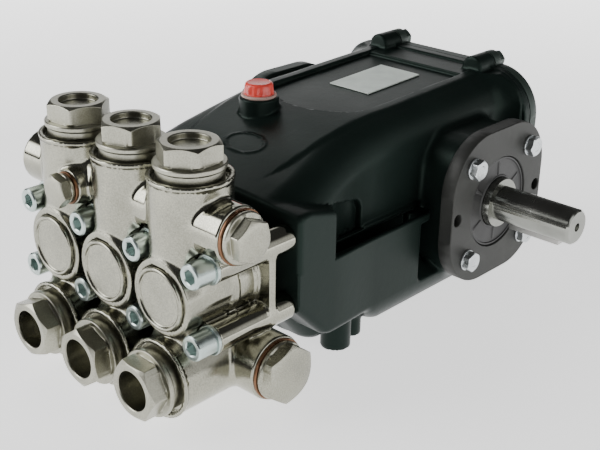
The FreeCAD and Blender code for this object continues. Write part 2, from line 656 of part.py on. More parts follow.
# Pump head: columns, barrels, suction housings, galleries and screw bosses in one casting
SUCTION_HALF = "(columnPitch * 1.5 + screwWasher / 2 + suctionClear)"
DISCHARGE_HALF = "(columnPitch * 1.5 + screwWasher / 2 + dischargeClear)"
head_parts = []
head_cuts = []
for column in COLUMNS:
    x = f"{column} * columnPitch"
    head_parts.append(rod(f"column_{column}", "columnDiameter", "columnTop", (x, "-columnSetback", "0")))
    head_parts.append(rod(f"barrel_{column}", "barrelDiameter", "barrelFront - headRear",
                          (x, "-headRear", "0"), "-y"))
    head_parts.append(rod(f"suction_{column}", "suctionDiameter", "suctionFront - suctionGalleryY",
                          (x, "-suctionGalleryY", "-suctionDrop"), "-y"))
    head_parts.append(block(f"web_{column}", "webWidth", "barrelFront - headRear - 2 * webSetback",
                            "suctionDrop", (f"{x} - webWidth / 2", "webSetback - barrelFront", "-suctionDrop")))
    head_cuts.append(rod("column_face", "columnDiameter", "capNeckHigh", (x, "-columnSetback", "columnTop")))
    head_cuts.append(rod("cap_recess", "recessDiameter", "recessDeep",
                         (x, "-columnSetback", "columnTop"), "-z"))
    head_cuts.append(rod("low_recess", "recessDiameter", "recessDeep",
                         (x, "-suctionFront", "-suctionDrop"), "y"))
    head_cuts.append(rod("cap_thread", "capThread + 2 * seatGap", "capThreadLong + tapEnd",
                         (x, "-columnSetback", "columnTop"), "-z"))
    head_cuts.append(rod("disc_thread", "discThread + 2 * seatGap", "discThreadLong + tapEnd",
                         (x, "-barrelFront", "0"), "y"))
    head_cuts.append(rod("suction_thread", "capThread + 2 * seatGap", "capThreadLong + tapEnd",
                         (x, "-suctionFront", "-suctionDrop"), "y"))
head_parts.append(block("rear_plate_block", "plateHalf * 2", "plateDepth", "plateUp + plateDown",
                        ("-plateHalf", "-headRear - plateDepth", "-plateDown")))
head_parts.append(rod("suction_gallery", "suctionGallery", f"{SUCTION_HALF} * 2",
                      (f"-{SUCTION_HALF}", "-suctionGalleryY", "-suctionDrop"), "x"))
head_parts.append(rod("discharge_gallery", "dischargeGallery", f"{DISCHARGE_HALF} * 2",
                      (f"-{DISCHARGE_HALF}", "-columnSetback", "dischargeGalleryZ"), "x"))
gauge_boss = doc.addObject("Part::Cone", "gauge_boss")
bind(gauge_boss, Radius1="gaugeRoot / 2", Radius2="gaugeBoss / 2", Height="gaugeFront - columnSetback")
head_parts.append(put(gauge_boss, ("-gaugeX", "-columnSetback", "dischargeGalleryZ"), "-y"))
for x, z in SCREWS:
    place = (f"{x} * columnPitch", "-caseFront", f"{z} * screwPitchZ / 2")
    head_parts.append(rod("sleeve", "sleeveDiameter", "sleeveFront - caseFront", place, "-y"))
    head_cuts.append(rod("screw_hole", "screwDiameter + 2 * seatGap", "sleeveFront - caseFront", place, "-y"))
    head_cuts.append(rod("screw_seat", "screwWasher + 4 * seatGap", "screwWasherThick + screwHeadLong",
                         (place[0], "-sleeveFront", place[2]), "-y"))
for side in SIDES:
    away = "-x" if side > 0 else "x"
    head_cuts.append(rod("suction_port", "suctionThread + 2 * seatGap", "portDepth",
                         (f"{side} * {SUCTION_HALF}", "-suctionGalleryY", "-suctionDrop"), away))
    head_cuts.append(rod("discharge_port", "dischargeThread + 2 * seatGap", "portDepth",
                         (f"{side} * {DISCHARGE_HALF}", "-columnSetback", "dischargeGalleryZ"), away))
head_cuts.append(rod("gauge_port", "gaugeThread + 2 * seatGap", "portDepth",
                     ("-gaugeX", "-gaugeFront", "dischargeGalleryZ"), "y"))
node("pump_head", cut("head_cut", fuse("head_solid", head_parts), head_cuts))

# Head screws with washers, each through its boss into the crankcase
for index, (x, z) in enumerate(SCREWS, start=1):
    name = f"screw_{index}"
    reach = "sleeveFront - caseFront + screwBite"
    shank = rod(name + "_shank", "screwDiameter", reach, axis="-z")
    washer = rod(name + "_washer", "screwWasher", "screwWasherThick")
    head = rod(name + "_head", "screwHead", "screwHeadLong", ("0", "0", "screwWasherThick"))
    socket = hexagon(name + "_socket", "screwFlats", "screwSocket",
                     ("0", "0", "screwWasherThick + screwHeadLong - screwSocket"))
    whole = cut(name, fuse(name + "_solid", [shank, washer, head]), [socket])
    put(whole, (f"{x} * columnPitch", "-sleeveFront", f"{z} * screwPitchZ / 2"), "-y")
    node(f"head_screw_{index}", whole)


def valve_cap(name, dish, deep, place, axis):
    """A hexagon cap on a collar and neck, dished or bored from its outer face."""
    neck = rod(name + "_neck", "capNeck", "recessDeep + capNeckHigh", ("0", "0", "-recessDeep"))
    thread = rod(name + "_thread", "capThread", "capThreadLong", axis="-z")
    collar = rod(name + "_collar", "capCollar", "capCollarHigh", ("0", "0", "capNeckHigh"))
    top = nut(name + "_hex", "capFlats", "capHex", ("0", "0", "capNeckHigh + capCollarHigh"))
    bore = rod(name + "_bore", dish, deep, ("0", "0", f"capNeckHigh + capCollarHigh + capHex - {deep}"))
    return put(cut(name, fuse(name + "_solid", [neck, thread, collar, top]), [bore]), place, axis)


for index, column in enumerate(COLUMNS, start=1):
    x = f"{column} * columnPitch"
    node(f"discharge_cap_{index}", valve_cap(f"top_cap_{index}", "capDish", "capDishDeep",
                                             (x, "-columnSetback", "columnTop"), "z"))
    node(f"suction_cap_{index}", valve_cap(f"low_cap_{index}", "capBore", "capBoreDeep",
                                           (x, "-suctionFront", "-suctionDrop"), "-y"))
    disc = rod(f"disc_{index}", "discDiameter", "discRim")
    stem = rod(f"disc_stem_{index}", "discThread", "discThreadLong", axis="-z")
    dish = rod(f"disc_dish_{index}", "discDish", "discDishDeep", ("0", "0", "discRim - discDishDeep"))
    plunger_plug = cut(f"disc_cut_{index}", fuse(f"disc_solid_{index}", [disc, stem]), [dish])
    node(f"plunger_plug_{index}", put(plunger_plug, (x, "-barrelFront", "0"), "-y"))
    node(f"plunger_guide_{index}", rod(f"guide_{index}", "guideDiameter", "headRear - caseFront",
                                       (x, "-caseFront", "0"), "-y"))


def plug(kind, place, axis):
    """A hexagon plug with a flange, on a copper washer."""
    washer_solid = rod(f"{kind}_washer_disc", f"{kind}PlugFace", "plugWasher")
    washer_hole = rod(f"{kind}_washer_hole", f"{kind}Thread + 2 * seatGap", "plugWasher")
    washer = put(cut(f"{kind}_washer_cut", washer_solid, [washer_hole]), place, axis)
    node(f"{kind}_washer", washer)
    rim = rod(f"{kind}_flange", f"{kind}PlugFace - plugEdge", "plugFlange", ("0", "0", "plugWasher"))
    head = nut(f"{kind}_hexagon", f"{kind}PlugFlats", f"{kind}PlugHex", ("0", "0", "plugWasher + plugFlange"))
    stem = rod(f"{kind}_stem", f"{kind}Thread", "plugThreadLong + plugWasher", ("0", "0", "-plugThreadLong"))
    node(f"{kind}_plug", put(fuse(f"{kind}_plug_solid", [rim, head, stem]), place, axis))


plug("suction", (SUCTION_HALF, "-suctionGalleryY", "-suctionDrop"), "x")
plug("discharge", (DISCHARGE_HALF, "-columnSetback", "dischargeGalleryZ"), "x")
plug("gauge", ("-gaugeX", "-gaugeFront", "dischargeGalleryZ"), "-y")

doc.recompute()
failed = [item.Label for item in doc.Objects if "Invalid" in item.State or "Error" in item.State]
if failed:
    raise RuntimeError("these objects did not build: " + ", ".join(failed))
for name, piece in nodes.items():
    if piece.Shape.isNull() or not piece.Shape.isValid():
        raise RuntimeError(name + " has no sound shape")

os.makedirs("parts", exist_ok=True)
for name, piece in nodes.items():
    piece.Shape.exportStep(f"parts/{name}.step")
    print(name, len(piece.Shape.Solids), round(piece.Shape.Volume / 1000, 1), "cm3")
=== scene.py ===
"""Finishes and small forms of a triplex plunger pump, built round its fixed CAD frame."""

import math

import bmesh
import bpy
import numpy as np
from mathutils import Matrix, Vector


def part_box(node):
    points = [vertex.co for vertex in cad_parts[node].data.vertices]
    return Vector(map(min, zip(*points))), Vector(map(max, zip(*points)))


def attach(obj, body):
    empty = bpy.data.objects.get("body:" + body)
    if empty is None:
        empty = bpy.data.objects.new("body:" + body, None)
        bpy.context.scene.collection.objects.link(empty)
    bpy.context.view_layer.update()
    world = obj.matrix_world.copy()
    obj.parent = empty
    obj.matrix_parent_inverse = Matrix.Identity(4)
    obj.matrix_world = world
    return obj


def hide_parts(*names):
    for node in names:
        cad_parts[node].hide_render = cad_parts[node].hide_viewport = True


bl_info = {
    "name": "Plunger pump finishes",
    "version": (1, 0, 0),
    "blender": (4, 5, 0),
    "location": "3D View > Sidebar > Pump",
    "description": "Castings, valve caps, fasteners and finishes of a triplex plunger pump",
    "category": "Object",
}

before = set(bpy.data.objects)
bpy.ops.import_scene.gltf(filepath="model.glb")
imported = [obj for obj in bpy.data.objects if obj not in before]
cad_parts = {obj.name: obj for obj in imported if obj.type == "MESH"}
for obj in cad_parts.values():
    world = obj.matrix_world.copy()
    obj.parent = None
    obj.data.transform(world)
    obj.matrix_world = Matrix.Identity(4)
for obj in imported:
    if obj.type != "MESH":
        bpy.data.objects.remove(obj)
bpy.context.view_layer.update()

MM = 0.001

# Crankcase, in millimetres: faces across y and z, and half widths
FRONT, REAR = -187.0, 66.0
SUMP, SOLE = -72.0, -84.0
WALL, LEDGE, BOSS = 71.0, 90.0, 97.0
FLANGE_FOOT = -54.0
FOOT_X, FOOT_YS = 64.6, (-122.0, 42.0)
UPPER_BOLT = (45.0, 76.0)
BEARING_BOLT_SEAT, REAR_BOLT_SEAT = 108.0, 74.0
BEARING_BOLT_CIRCLE = 48.4
SEAL_SEAT = 100.0
FILLER = (-19.0, -113.5, 74.2)

# Pump head, in millimetres, and the turn of its hexagon caps, in degrees
COLUMNS = (-52.0, 0.0, 52.0)
COLUMN_Y, COLUMN_TOP = -239.3, 72.0
BARREL_FRONT = -264.6
HOUSING_Z, HOUSING_FRONT = -52.2, -269.3
SUCTION_Y, SUCTION_END = -210.5, 94.0
DISCHARGE_Z, DISCHARGE_END = 45.0, 92.5
GAUGE_X, GAUGE_FRONT = -33.4, -263.5
HEAD_BACK = -203.0
SCREW_SEAT = -249.0
DISCHARGE_TURNS = (8.0, 21.0, -27.0)
SUCTION_TURNS = (20.0, 36.0, -2.0)
CHAMFER = math.tan(math.radians(30.0))

# Floor and camera: places in metres, lens in millimetres, yaw, pitch and roll in degrees
FLOOR_LEVEL, FLOOR_REACH = -0.0842, 12.0
LENS, SENSOR = 65.97, 36.0
CAMERA_PLACE = (0.4953, -0.62524, 0.30122)
CAMERA_TURNS = (42.79, 24.06, 1.04)


# Distances to forms, in millimetres: below zero inside

def smooth_join(a, b, fillet):
    """Unite two forms with a fillet in the corner between them."""
    mix = np.clip(0.5 + 0.5 * (b - a) / fillet, 0.0, 1.0)
    return b + (a - b) * mix - fillet * mix * (1.0 - mix)


def smooth_cut(a, b, fillet):
    """Take the second form out of the first."""
    return -smooth_join(-a, b, fillet)


def round_meet(a, b, radius):
    """Keep what two forms share, with a round edge."""
    outside = np.hypot(np.maximum(a + radius, 0.0), np.maximum(b + radius, 0.0))
    return np.minimum(np.maximum(a, b), -radius) + outside


def between(value, low, high):
    """Distance to a slab between two values."""
    return np.abs(value - (low + high) / 2) - (high - low) / 2


def rod(along, u, v, radius, low, high, edge):
    """A round bar along one axis, with u and v measured from its own axis."""
    return round_meet(np.hypot(u, v) - radius, between(along, low, high), edge)


def ease(value, low, high):
    """Rise softly from nought to one between two values."""
    t = np.clip((value - low) / (high - low), 0.0, 1.0)
    return t * t * (3.0 - 2.0 * t)


ROOF_Y = np.array([FRONT, -168.0, -140.0, -112.0, -95.0, -41.0, 18.0, REAR])
ROOF_Z = np.array([41.8, 47.8, 57.2, 65.0, 67.8, 70.4, 72.6, 74.0])


def curve_slopes(xs, ys):
    """Slopes of a smooth curve through points."""
    gaps = np.diff(xs)
    steps = np.diff(ys) / gaps
    slopes = np.empty(len(xs))
    slopes[0], slopes[-1] = steps[0], steps[-1]
    slopes[1:-1] = (steps[:-1] * gaps[1:] + steps[1:] * gaps[:-1]) / (gaps[:-1] + gaps[1:])
    return slopes


ROOF_SLOPE = curve_slopes(ROOF_Y, ROOF_Z)


def roof_height(y):
    """The roof's ridge line and its slope."""
    y = np.clip(y, ROOF_Y[0], ROOF_Y[-1])
    i = np.clip(np.searchsorted(ROOF_Y, y) - 1, 0, len(ROOF_Y) - 2)
    span = ROOF_Y[i + 1] - ROOF_Y[i]
    t = (y - ROOF_Y[i]) / span
    height = ((1 + 2 * t) * (1 - t) ** 2 * ROOF_Z[i] + t * (1 - t) ** 2 * span * ROOF_SLOPE[i]
              + t * t * (3 - 2 * t) * ROOF_Z[i + 1] + t * t * (t - 1) * span * ROOF_SLOPE[i + 1])
    slope = (6 * t * (t - 1) * (ROOF_Z[i] - ROOF_Z[i + 1]) / span + (1 - t) * (1 - 3 * t) * ROOF_SLOPE[i]
             + t * (3 * t - 2) * ROOF_SLOPE[i + 1])
    return height, slope


def crankcase_form(x_signed, y, z):
    """The crankcase casting."""
    x = np.abs(x_signed)
    roof, slope = roof_height(y)
    level = 1.0 / np.sqrt(1.0 + slope * slope)
    crown = 3.7 * (x / 88.0) ** 2 * ease(-y, 140.0, -FRONT)
    lid = (z - roof + crown) * level
    front = FRONT - y
    chin = (front * 46.0 + (-26.0 - z) * 37.0) / 59.03
    shell = round_meet(lid, front, 3.0)
    shell = round_meet(shell, chin, 6.0)
    shell = round_meet(shell, SUMP - z, 8.0)
    shell = np.maximum(shell, y - 62.0)
    swell = 11.0 * ease(-y, 98.0, 178.0) * ease(z, -20.0, 10.0)
    fade = ease(y, -172.0, -150.0)
    step = 1.2 * ease(-y, 70.0, 125.0) * fade
    shoulder = 14.0 + 12.0 * ease(z, -40.0, 20.0)
    body = round_meet(np.maximum(shell, lid + step), x - WALL - swell, shoulder)

    # Raised roof with its sunk panel
    roof_half = np.interp(y, (FRONT, -166.0, -142.0, -100.0, -60.0), (43.0, 45.0, 48.5, 51.7, 53.5))
    body = smooth_join(body, round_meet(shell, x - roof_half, 3.0), 0.05 + 2.5 * fade)
    edge = round_meet(x - 44.0, 0.0085 * x * x - 96.0 - y, 8.0)
    bottom = 65.6 + (y + 95.0) * 0.0366
    panel = round_meet(bottom - z, round_meet(edge, y - 58.0, 2.0), 1.0)
    body = smooth_cut(body, panel, 0.8)

    # Front flange, hollowed into the side walls
    wall = np.where(y > -112.0, x - 66.0, 47.9 - np.hypot(x - 113.9, y + 112.0))
    keel = (-213.0 - y - z) / math.sqrt(2.0)
    crease = (z - 27.3 + 0.254 * (y + 128.0)) / 1.03
    pocket = np.maximum(np.maximum(round_meet(crease, y + 108.0, 7.0), -wall), -5.0 - z)
    body = smooth_cut(body, pocket, 1.2)
    flange = np.maximum(x - LEDGE, wall)
    for face, radius in ((crease, 4.0), (lid, 4.0), (FLANGE_FOOT - z, 8.0), (front, 3.0), (keel, 5.0)):
        flange = round_meet(flange, face, radius)
    fillet = 0.05 + 2.0 * ease(z, 18.0, 32.0) * ease(-y, 150.0, 165.0)
    body = smooth_join(body, np.maximum(flange, y + 111.0), fillet)

    # Lower side walls with a slot in their ledge and a recess in front of the bearing boss
    side = x - LEDGE + 2.0 * ease(y, -155.0, -110.0)
    low_wall = round_meet(side, SUMP - z, 24.0)
    foot = smooth_join(FLANGE_FOOT - z, (-170.0 - y - z) / math.sqrt(2.0), 3.0)
    low_wall = round_meet(low_wall, foot, 6.0)
    low_wall = round_meet(low_wall, z - 1.0, 1.4)
    low_wall = np.maximum(round_meet(low_wall, keel, 5.0), between(y, FRONT, 60.0))
    low_wall = np.maximum(low_wall, np.minimum(round_meet(side, y + 45.0, 12.0), z + 42.0))
    floor = -42.0 - z - 0.9 * (x - 80.0)
    recess = np.maximum(round_meet(-62.0 - y, floor, 4.0), np.minimum(z + 5.0, -48.0 - y))
    body = np.minimum(body, smooth_cut(low_wall, recess, 1.6))
    corner = np.hypot(x - WALL, z - 0.6)
    bead = round_meet(corner - 2.4, between(y, -106.0, -40.0), 1.0)
    body = smooth_join(body, bead, 1.5)
    slot = np.maximum(round_meet(x - 84.0, between(y, -150.0, -54.0), 5.0), -23.0 - z)
    cheek = np.where(y > -108.0, x - WALL, wall)
    behind = np.minimum(-cheek, np.maximum(-6.0 - cheek, z + 2.0))
    slot = np.maximum(np.maximum(slot, z - 1.2), behind)
    body = smooth_cut(body, np.maximum(slot, 2.2 - corner), 1.2)

    # Bearing bosses
    boss = round_meet(np.abs(y) - 43.0, np.abs(z + 3.0) - 53.0, 26.0)
    body = smooth_join(body, round_meet(boss, x - BOSS, 1.0), 5.0)

    # Rear flange, flared out of the side walls
    section = round_meet(x - WALL, between(z, SUMP, 73.2), np.where(z > 0.0, 26.0, 14.0))
    outline = round_meet(x - 88.0, between(z, SUMP, 75.5), np.where(z > 0.0, 34.0, 18.0))
    flare_radius = 22.0
    grown = flare_radius - np.sqrt(flare_radius ** 2 - np.clip(y - 36.0, 0.0, 20.5) ** 2)
    flare = np.maximum(round_meet(section - grown, outline, 2.0), between(y, 34.0, 60.0))
    body = smooth_join(body, np.maximum(flare, z - roof), 1.5)
    body = smooth_join(body, round_meet(outline, between(y, 58.0, REAR), 1.2), 1.2)
    lug_x, lug_z = UPPER_BOLT
    body = smooth_join(body, rod(y, x - lug_x, z - lug_z, 8.5, 46.0, REAR, 1.6), 3.0)

    # Feet, small lugs and the filler boss
    for foot_y in FOOT_YS:
        u, v = x - FOOT_X, y - foot_y
        body = smooth_join(body, rod(z, u, v, 10.5, SOLE, -50.0, 1.2), 1.5)
        body = smooth_cut(body, rod(z, u, v, 4.25, -90.0, -66.0, 0.2), 0.3)
    body = smooth_join(body, rod(z, x - 60.0, y + 102.0, 8.0, SOLE, -50.0, 1.2), 3.0)
    filler = rod(z, x_signed - FILLER[0], y - FILLER[1], 13.9, 40.0, FILLER[2], 1.4)
    body = smooth_join(body, filler, 1.6)

    # Bare oval on the front slope, drawn by a low raised line
    oval = np.hypot((x_signed - 3.0) / 16.0, (y + 148.5) / 9.4)
    line = 0.55 * np.exp(-((oval - 1.0) * 11.0) ** 2) * (z > 30.0)
    return body - line


SLEEVES = [(x, z) for z in (23.0, -23.0) for x in (-78.0, -26.0, 26.0, 78.0)]


def polished_form(x, y, z):
    """The smooth parts of the pump head: screw bosses and galleries."""
    body = rod(x, y - COLUMN_Y, z - DISCHARGE_Z, 18.0, -DISCHARGE_END, DISCHARGE_END, 1.4)
    for sleeve_x, sleeve_z in SLEEVES:
        sleeve = rod(y, x - sleeve_x, z - sleeve_z, 9.2, SCREW_SEAT, FRONT, 0.8)
        body = np.minimum(body, sleeve)
    return body


def blasted_form(x, y, z):
    """The grained parts of the pump head: columns, barrels, suction housings and the rear plate."""
    body = rod(x, y - SUCTION_Y, z - HOUSING_Z, 21.0, -SUCTION_END, SUCTION_END, 1.6)
    for column in COLUMNS:
        u, v, w = x - column, y - COLUMN_Y, z - HOUSING_Z
        stand = rod(z, u, v, 25.1, 0.0, COLUMN_TOP, 0.5)
        stand = smooth_join(stand, rod(z, u, v, 25.8, 69.4, COLUMN_TOP, 0.5), 0.8)
        barrel = rod(y, u, z, 24.5, BARREL_FRONT, HEAD_BACK, 1.2)
        for low, high, radius in ((-231.0, -224.5, 25.6), (-211.5, -205.0, 25.4)):
            barrel = smooth_join(barrel, rod(y, u, z, radius, low, high, 1.0), 0.8)
        housing = rod(y, u, w, 24.8, HOUSING_FRONT, SUCTION_Y, 0.5)
        housing = smooth_join(housing, rod(y, u, w, 25.6, HOUSING_FRONT, -266.8, 0.5), 0.8)
        web = round_meet(np.abs(u) - 17.0, between(y, -258.6, -209.0), 3.0)
        web = round_meet(web, between(z, HOUSING_Z, 0.0), 1.0)
        upper, lower = smooth_join(stand, barrel, 4.0), smooth_join(housing, web, 5.0)
        body = smooth_join(body, smooth_join(upper, lower, 4.0), 3.5)
    plate = round_meet(np.abs(x) - 86.0, between(z, -28.0, 21.0), 2.0)
    plate = round_meet(plate, between(y, -208.5, HEAD_BACK), 0.8)
    body = smooth_join(body, plate, 2.2)
    reach = np.clip((COLUMN_Y - y) / 24.2, 0.0, 1.0)
    gauge = np.hypot(x - GAUGE_X, z - DISCHARGE_Z) - (12.5 - 1.5 * reach)
    gauge = round_meet(gauge, between(y, GAUGE_FRONT, COLUMN_Y), 0.8)
    return smooth_join(body, gauge, 3.0)


def pump_head_form(x, y, z):
    """The pump head casting with its seats and the open far ports of its galleries."""
    body = smooth_join(blasted_form(x, y, z), polished_form(x, y, z), 2.6)
    for column in COLUMNS:
        u = x - column
        body = smooth_cut(body, rod(z, u, y - COLUMN_Y, 22.9, 68.0, 80.0, 0.3), 0.6)
        body = smooth_cut(body, rod(y, u, z - HOUSING_Z, 22.9, -280.0, -265.3, 0.3), 0.6)
        body = smooth_cut(body, rod(y, u, z, 20.3, -272.0, -263.6, 0.2), 0.3)
    for sleeve_x, sleeve_z in SLEEVES:
        seat = rod(y, x - sleeve_x, z - sleeve_z, 10.1, -266.0, SCREW_SEAT, 0.2)
        body = smooth_cut(body, seat, 0.5)
    discharge = rod(x, y - COLUMN_Y, z - DISCHARGE_Z, 10.8, -98.0, -72.5, 0.3)
    suction = rod(x, y - SUCTION_Y, z - HOUSING_Z, 16.8, -98.0, -74.0, 0.3)
    return smooth_cut(smooth_cut(body, discharge, 0.5), suction, 0.5)


def slope_of(form, points, reach=0.05):
    """How a form's distance changes at points."""
    slopes = np.empty_like(points)
    for axis in range(3):
        shift = np.zeros(3)
        shift[axis] = reach
        slopes[:, axis] = (form(*(points + shift).T) - form(*(points - shift).T)) / (2 * reach)
    return slopes


def casting(name, form, low, high, step):
    """A closed mesh on a form's surface, with the form's own normals.

    Each grid cell that the surface passes gets one point, and each grid edge that it crosses a face.
    """
    axes = [np.arange(l - 2 * step, h + 3 * step, step) for l, h in zip(low, high)]
    origin = np.array([a[0] for a in axes])
    depth = form(*np.meshgrid(*axes, indexing="ij"))
    inside = depth < 0
    cells = tuple(n - 1 for n in depth.shape)
    total = np.zeros((int(np.prod(cells)), 3))
    count = np.zeros(int(np.prod(cells)))
    stride = np.array([cells[1] * cells[2], cells[2], 1])
    faces = []
    for axis in range(3):
        here = [slice(None)] * 3
        there = [slice(None)] * 3
        here[axis], there[axis] = slice(0, -1), slice(1, None)
        a, b = depth[tuple(here)], depth[tuple(there)]
        place = np.argwhere(inside[tuple(here)] != inside[tuple(there)])
        key = tuple(place.T)
        point = place.astype(float)
        point[:, axis] += a[key] / (a[key] - b[key])
        u, v = (axis + 1) % 3, (axis + 2) % 3
        ring = []
        for du, dv in ((1, 1), (0, 1), (0, 0), (1, 0)):
            cell = place.copy()
            cell[:, u] -= du
            cell[:, v] -= dv
            flat = cell @ stride
            np.add.at(total, flat, point)
            np.add.at(count, flat, 1)
            ring.append(flat)
        quads = np.stack(ring, axis=1)
        outward = inside[tuple(here)][key]
        faces.append(np.where(outward[:, None], quads, quads[:, ::-1]))
    used = np.flatnonzero(count)
    number = np.full(len(count), -1)
    number[used] = np.arange(len(used))
    points = origin + total[used] / count[used][:, None] * step
    for _ in range(4):
        slope = slope_of(form, points)
        move = form(*points.T) / np.maximum((slope ** 2).sum(1), 0.2)
        points -= np.clip(move, -step, step)[:, None] * slope
    normals = slope_of(form, points)
    normals /= np.maximum(np.linalg.norm(normals, axis=1), 1e-6)[:, None]
    mesh = bpy.data.meshes.new(name)
    quads = number[np.concatenate(faces)]
    mesh.vertices.add(len(points))
    mesh.vertices.foreach_set("co", (points * MM).astype(np.float32).ravel())
    mesh.loops.add(quads.size)
    mesh.loops.foreach_set("vertex_index", quads.astype(np.int32).ravel())
    mesh.polygons.add(len(quads))
    mesh.polygons.foreach_set("loop_start", np.arange(0, quads.size, 4, dtype=np.int32))
    mesh.update(calc_edges=True)
    mesh.validate()
    mesh.polygons.foreach_set("use_smooth", np.ones(len(mesh.polygons), bool))
    mesh.normals_split_custom_set_from_vertices(normals)
    piece = bpy.data.objects.new(name, mesh)
    bpy.context.scene.collection.objects.link(piece)
    return piece, points


# Turned and hexagon pieces

AXES = {
    "x": Matrix(((0, 0, 1), (0, 1, 0), (-1, 0, 0))),
    "-x": Matrix(((0, 0, -1), (0, 1, 0), (1, 0, 0))),
    "y": Matrix(((1, 0, 0), (0, 0, 1), (0, -1, 0))),
    "-y": Matrix(((1, 0, 0), (0, 0, -1), (0, 1, 0))),
    "z": Matrix.Identity(3),
}


def hexagon_radius(angles, flats, turn):
    """How far a hexagon's side is from its middle at each angle."""
    return flats / 2 / np.cos((angles + turn) % (math.pi / 3) - math.pi / 6)


def turned(maker, rings, place, axis, around=96):
    """Add a body of rings round an axis; each ring is a radius and a height, plain or by angle."""
    angles = np.arange(around) * 2 * math.pi / around
    matrix = AXES[axis]
    rows = []
    for radius, height in rings:
        radius = radius(angles) if callable(radius) else np.full(around, float(radius))
        height = height(angles) if callable(height) else np.full(around, float(height))
        row = []
        for angle, r, h in zip(angles, radius, height):
            local = Vector((r * math.cos(angle), r * math.sin(angle), h))
            row.append(maker.verts.new((Vector(place) + matrix @ local) * MM))
        rows.append(row)
    for low, high in zip(rows, rows[1:]):
        for i in range(around):
            j = (i + 1) % around
            maker.faces.new((low[i], low[j], high[j], high[i]))
    maker.faces.new(list(reversed(rows[0])))
    maker.faces.new(rows[-1])


def finish_piece(name, maker, body, material, nodes, edge):
    """Turn a made mesh into a piece that stands for its CAD nodes."""
    bmesh.ops.recalc_face_normals(maker, faces=maker.faces)
    mesh = bpy.data.meshes.new(name)
    maker.to_mesh(mesh)
    maker.free()
    mesh.polygons.foreach_set("use_smooth", np.ones(len(mesh.polygons), bool))
    piece = bpy.data.objects.new(name, mesh)
    bpy.context.scene.collection.objects.link(piece)
    soften(piece, edge)
    dress(piece, body, material, nodes)
    return piece


def soften(piece, edge, angle=28.0, weld=False):
    """Round a piece's sharp edges a little."""
    if weld:
        joint = piece.modifiers.new("weld", "WELD")
        joint.merge_threshold = 0.00001
    bevel = piece.modifiers.new("edges", "BEVEL")
    bevel.width = edge * MM
    bevel.segments = 2
    bevel.limit_method = "ANGLE"
    bevel.angle_limit = math.radians(angle)
    bevel.harden_normals = True
    bevel.use_clamp_overlap = True


def coat(piece, material):
    """Give a piece one material."""
    piece.data.materials.clear()
    piece.data.materials.append(material)


def dress(piece, body, material, nodes):
    """Coat a piece, say what it moves with and hide the CAD nodes it stands for."""
    coat(piece, material)
    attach(piece, body)
    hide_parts(*nodes)


def coat_node(name, material, edge=None):
    """Coat a piece of the frame, with its sharp edges rounded if an edge is given."""
    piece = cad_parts[name]
    if edge is not None:
        soften(piece, edge, 40.0, weld=True)
    coat(piece, material)


def middle(node):
    """The middle of a CAD node's box, in millimetres."""
    low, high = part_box(node)
    return (low + high) / 2 / MM


# Finishes

class Recipe:
    """A material's node tree with short calls for the nodes that these finishes use."""

    def __init__(self, name, colour, metallic, roughness):
        self.material = bpy.data.materials.new(name)
        self.material.use_nodes = True
        self.tree = self.material.node_tree
        self.shader = self.tree.nodes["Principled BSDF"]
        self.shader.inputs["Metallic"].default_value = metallic
        self.shader.inputs["Base Color"].default_value = (*colour, 1.0)
        self.shader.inputs["Roughness"].default_value = roughness
        self.place = self.tree.nodes.new("ShaderNodeTexCoord").outputs["Object"]

    def link(self, source, target):
        self.tree.links.new(source, target)

    def noise(self, scale, detail=3.0, rough=0.5, stretch=None):
        node = self.tree.nodes.new("ShaderNodeTexNoise")
        node.inputs["Scale"].default_value = scale
        node.inputs["Detail"].default_value = detail
        node.inputs["Roughness"].default_value = rough
        source = self.place
        if stretch:
            mapping = self.tree.nodes.new("ShaderNodeMapping")
            mapping.inputs["Scale"].default_value = stretch
            self.link(source, mapping.inputs["Vector"])
            source = mapping.outputs["Vector"]
        self.link(source, node.inputs["Vector"])
        return node.outputs["Fac"]

    def span(self, source, from_low, from_high, to_low, to_high):
        node = self.tree.nodes.new("ShaderNodeMapRange")
        ends = {"From Min": from_low, "From Max": from_high, "To Min": to_low, "To Max": to_high}
        for key, value in ends.items():
            node.inputs[key].default_value = value
        self.link(source, node.inputs["Value"])
        return node.outputs["Result"]

    def sum(self, a, b, operation="ADD"):
        node = self.tree.nodes.new("ShaderNodeMath")
        node.operation = operation
        self.link(a, node.inputs[0])
        if isinstance(b, (int, float)):
            node.inputs[1].default_value = b
        else:
            self.link(b, node.inputs[1])
        return node.outputs[0]

    def blend(self, fac, low, high):
        node = self.tree.nodes.new("ShaderNodeMix")
        node.data_type = "RGBA"
        self.link(fac, node.inputs["Factor"])
        for key, value in (("A", low), ("B", high)):
            socket = next(s for s in node.inputs if s.name == key and s.type == "RGBA")
            if isinstance(value, tuple):
                socket.default_value = (*value, 1.0)
            else:
                self.link(value, socket)
        return next(s for s in node.outputs if s.type == "RGBA")

    def shades(self, source, low, high, colour, dark, light):
        """A colour that a source leads from a darker to a lighter shade."""
        fac = self.span(source, low, high, 0.0, 1.0)
        return self.blend(fac, shade(colour, dark), shade(colour, light))

    def distance(self, spot):
        """How far a place is from a spot, in metres."""
        node = self.tree.nodes.new("ShaderNodeVectorMath")
        node.operation = "DISTANCE"
        node.inputs[1].default_value = spot
        self.link(self.place, node.inputs[0])
        return node.outputs["Value"]

    def bump(self, source, depth):
        """Raise the surface by a height of this many millimetres."""
        node = self.tree.nodes.new("ShaderNodeBump")
        node.inputs["Strength"].default_value = 1.0
        node.inputs["Distance"].default_value = depth * MM
        self.link(source, node.inputs["Height"])
        self.link(node.outputs["Normal"], self.shader.inputs["Normal"])

    def colour(self, source):
        self.link(source, self.shader.inputs["Base Color"])

    def roughness(self, source):
        self.link(source, self.shader.inputs["Roughness"])


